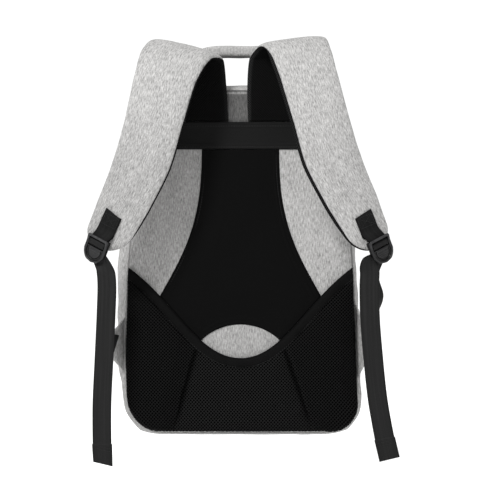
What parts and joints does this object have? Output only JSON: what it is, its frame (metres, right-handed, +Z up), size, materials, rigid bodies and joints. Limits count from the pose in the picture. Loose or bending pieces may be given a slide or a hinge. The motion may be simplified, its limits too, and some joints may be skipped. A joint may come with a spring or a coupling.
{
  "type": "laptop backpack",
  "caption": "Padded grey laptop backpack with black back panels, a mesh lumbar pad, shoulder straps on ladder-lock buckles with loose webbing tails, and a top carry handle",
  "frame": {"origin": "middle of the carry handle's underside, where the bag hangs", "axes": "+Z up, wearer's side towards -Y, front of the bag towards +Y, +X to the right as seen from the wearer's side"},
  "size_m": [0.4012, 0.2637, 0.5462],
  "materials": {
    "heather_cloth": "grey melange woven cloth over foam, matt",
    "black_cloth": "smooth black woven cloth, matt",
    "air_mesh": "black spacer mesh with small holes, matt",
    "webbing": "black woven webbing",
    "buckle_plastic": "black moulded plastic, satin"
  },
  "bodies": {
    "root": {"bag_shell": "heather_cloth", "back_panel": "heather_cloth", "yoke_band": "black_cloth", "spine_panel": "black_cloth", "lumbar_pad": "air_mesh", "lumbar_binding": "black_cloth", "carry_handle": "heather_cloth", "strap_face_left": "heather_cloth", "strap_face_right": "heather_cloth", "strap_lining_left": "air_mesh", "strap_lining_right": "air_mesh", "strap_stub_left": "webbing", "strap_stub_right": "webbing", "buckle_left": "buckle_plastic", "buckle_right": "buckle_plastic", "anchor_tab_left": "heather_cloth", "anchor_tab_right": "heather_cloth", "adjuster_left": "webbing", "adjuster_right": "webbing"}
  },
  "joints": []
}
